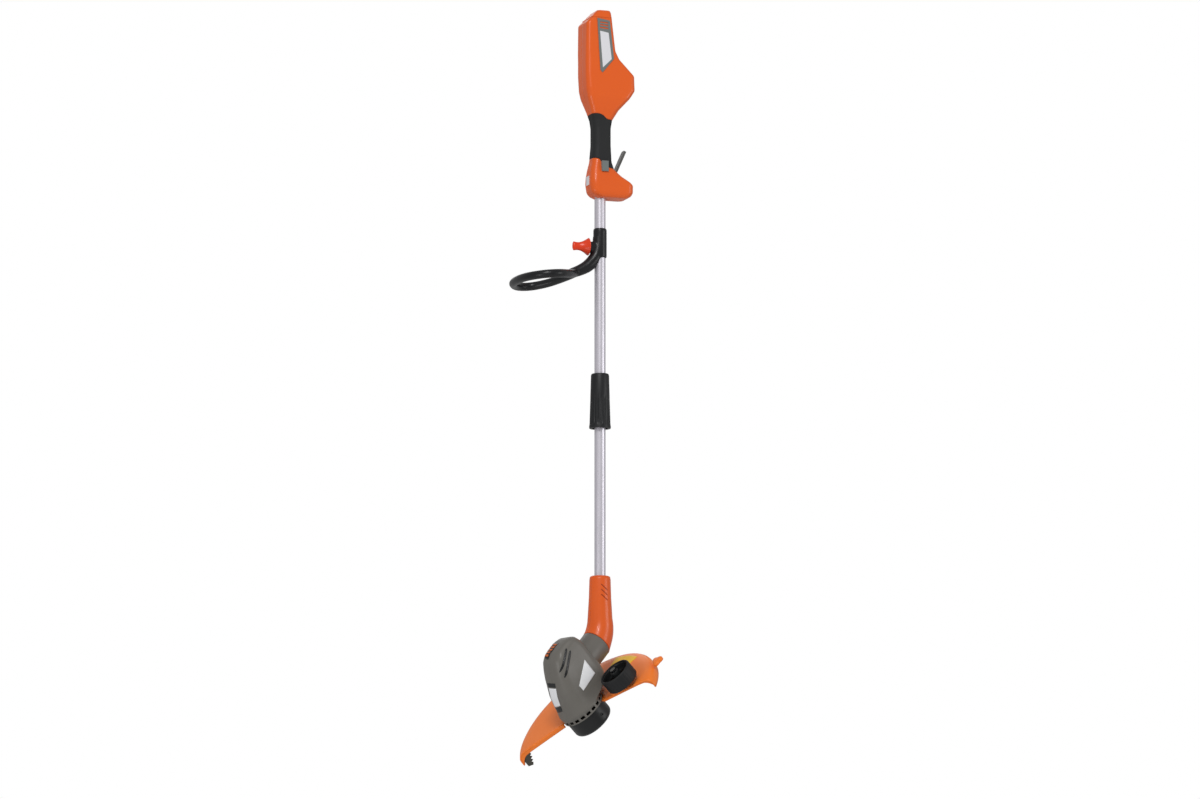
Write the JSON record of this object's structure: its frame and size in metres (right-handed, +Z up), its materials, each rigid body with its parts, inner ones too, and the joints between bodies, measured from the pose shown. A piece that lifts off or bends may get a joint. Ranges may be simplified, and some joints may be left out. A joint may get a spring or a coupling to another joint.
{
  "type": "string trimmer",
  "caption": "Slim upright cordless grass trimmer: battery housing over a rubber grip, loop handle on a two-piece shaft, tilted motor head with guard, spool and edging wheel.",
  "frame": {"origin": "on the shaft's axis, on the bare upper tube where a storage clip holds it", "axes": "+Z up the shaft to the battery housing, +X towards the user and the trigger, -X towards the loop handle"},
  "size_m": [0.2716, 0.2961, 1.5041],
  "materials": {
    "orange_plastic": "gloss",
    "guard_plastic": "gloss",
    "head_plastic": "satin",
    "grey_plastic": "satin",
    "dark_plastic": "matte",
    "sleeve_plastic": "satin",
    "cap_plastic": "satin",
    "wheel_plastic": "satin",
    "trigger_plastic": "satin",
    "switch_plastic": "matte",
    "spool_plastic": "satin",
    "line_plastic": "satin",
    "knob_plastic": "gloss",
    "knob_red": "satin",
    "cell_wrap": "gloss",
    "board": "satin",
    "grip_rubber": "matte",
    "loop_rubber": "satin",
    "wire_rubber": "satin",
    "tyre_rubber": "matte",
    "tube": "satin anodised",
    "aluminium": "satin",
    "foil": "satin",
    "steel": "zinc plated",
    "cutter_steel": "dark",
    "axle_steel": "polished",
    "magnet": "matte",
    "copper": "wound",
    "brass": "turned"
  },
  "bodies": {
    "handle": {"upper_tube": "tube", "coupling_spigot": "steel", "coupling_bush": "dark_plastic", "handle_shell_left": "orange_plastic", "handle_shell_right": "orange_plastic", "grip_sleeve": "grip_rubber", "vent_panels": "grey_plastic", "foil_plates": "foil", "front_badge": "foil", "handle_screws": "steel", "trigger_pin": "steel", "trigger_spring": "steel", "trigger_switch": "switch_plastic", "control_board": "board", "heat_sink": "aluminium", "battery_terminals": "dark_plastic", "power_lead": "wire_rubber", "lock_spring": "steel"},
    "trigger": {"trigger_lever": "trigger_plastic"},
    "lock": {"lock_button": "grey_plastic"},
    "sleeve": {"coupling_sleeve": "sleeve_plastic"},
    "loop": {"loop_handle": "loop_rubber", "clamp_bolt": "steel"},
    "knob": {"wing_knob": "knob_plastic", "knob_nut": "brass"},
    "battery": {"battery_case": "orange_plastic", "battery_cells": "cell_wrap"},
    "latch": {"battery_latch": "dark_plastic"},
    "lower": {"lower_tube": "tube", "coupling_collet": "dark_plastic", "neck_shell_left": "orange_plastic", "neck_shell_right": "orange_plastic", "neck_screws": "steel"},
    "head": {"swivel_collar": "dark_plastic", "head_shell_left": "head_plastic", "head_shell_right": "head_plastic", "motor_plate": "aluminium", "motor_can": "steel", "motor_magnets": "magnet", "motor_end_cap": "dark_plastic", "motor_bearings": "steel", "motor_lead": "wire_rubber", "guard": "guard_plastic", "guard_screws": "steel", "line_cutter": "cutter_steel", "cutter_screws": "steel", "wheel_axle": "axle_steel", "axle_cap": "axle_steel"},
    "spool": {"motor_shaft": "steel", "armature": "copper", "drive_hub": "brass", "spool_cap": "cap_plastic", "spool_cover": "cap_plastic", "line_eyelets": "aluminium", "line_spool": "spool_plastic", "trimmer_line": "line_plastic", "spool_spring": "steel"},
    "bump": {"bump_knob": "knob_red"},
    "wheel": {"wheel_rim": "wheel_plastic", "wheel_tyre": "tyre_rubber"}
  },
  "joints": [
    {"name": "shaft_turn", "type": "hinge", "parent": "handle", "child": "lower", "pos_m": [0, 0, -0.168], "axis": [0, 0, 1], "range_deg": [-107, 73]},
    {"name": "head_swivel", "type": "hinge", "parent": "lower", "child": "head", "pos_m": [0, 0, -0.64], "axis": [0.6274, 0.1918, 0.7547], "range_deg": [-90, 90]},
    {"name": "spool_spin", "type": "hinge", "parent": "head", "child": "spool", "pos_m": [-0.0842, -0.02574, -0.74128], "axis": [0.7217, 0.2207, -0.6561], "continuous": true},
    {"name": "bump_press", "type": "slide", "parent": "spool", "child": "bump", "axis": [-0.7217, -0.2207, 0.6561], "range_m": [0, 0.004], "stiffness_N_per_m": 1500},
    {"name": "wheel_spin", "type": "hinge", "parent": "head", "child": "wheel", "pos_m": [0.00693, -0.08781, -0.72441], "axis": [-0.7217, -0.2207, 0.6561], "continuous": true},
    {"name": "trigger_pull", "type": "hinge", "parent": "handle", "child": "trigger", "pos_m": [0.029, 0, 0.288], "axis": [0, 1, 0], "range_deg": [-22, 0], "stiffness_Nm_per_rad": 0.5},
    {"name": "lock_press", "type": "slide", "parent": "handle", "child": "lock", "axis": [0, 1, 0], "range_m": [0, 0.003], "stiffness_N_per_m": 800},
    {"name": "sleeve_turn", "type": "hinge", "parent": "handle", "child": "sleeve", "pos_m": [0, 0, -0.168], "axis": [0, 0, 1], "range_deg": [-90, 0]},
    {"name": "loop_slide", "type": "slide", "parent": "handle", "child": "loop", "axis": [0, 0, 1], "range_m": [-0.1, 0.04]},
    {"name": "knob_turn", "type": "hinge", "parent": "loop", "child": "knob", "pos_m": [-0.0252, 0, 0.14], "axis": [-1, 0, 0], "continuous": true},
    {"name": "battery_slide", "type": "slide", "parent": "handle", "child": "battery", "axis": [0, 0, 1], "range_m": [0, 0.17]},
    {"name": "latch_press", "type": "slide", "parent": "battery", "child": "latch", "axis": [0, 0, -1], "range_m": [0, 0.002], "stiffness_N_per_m": 800}
  ]
}
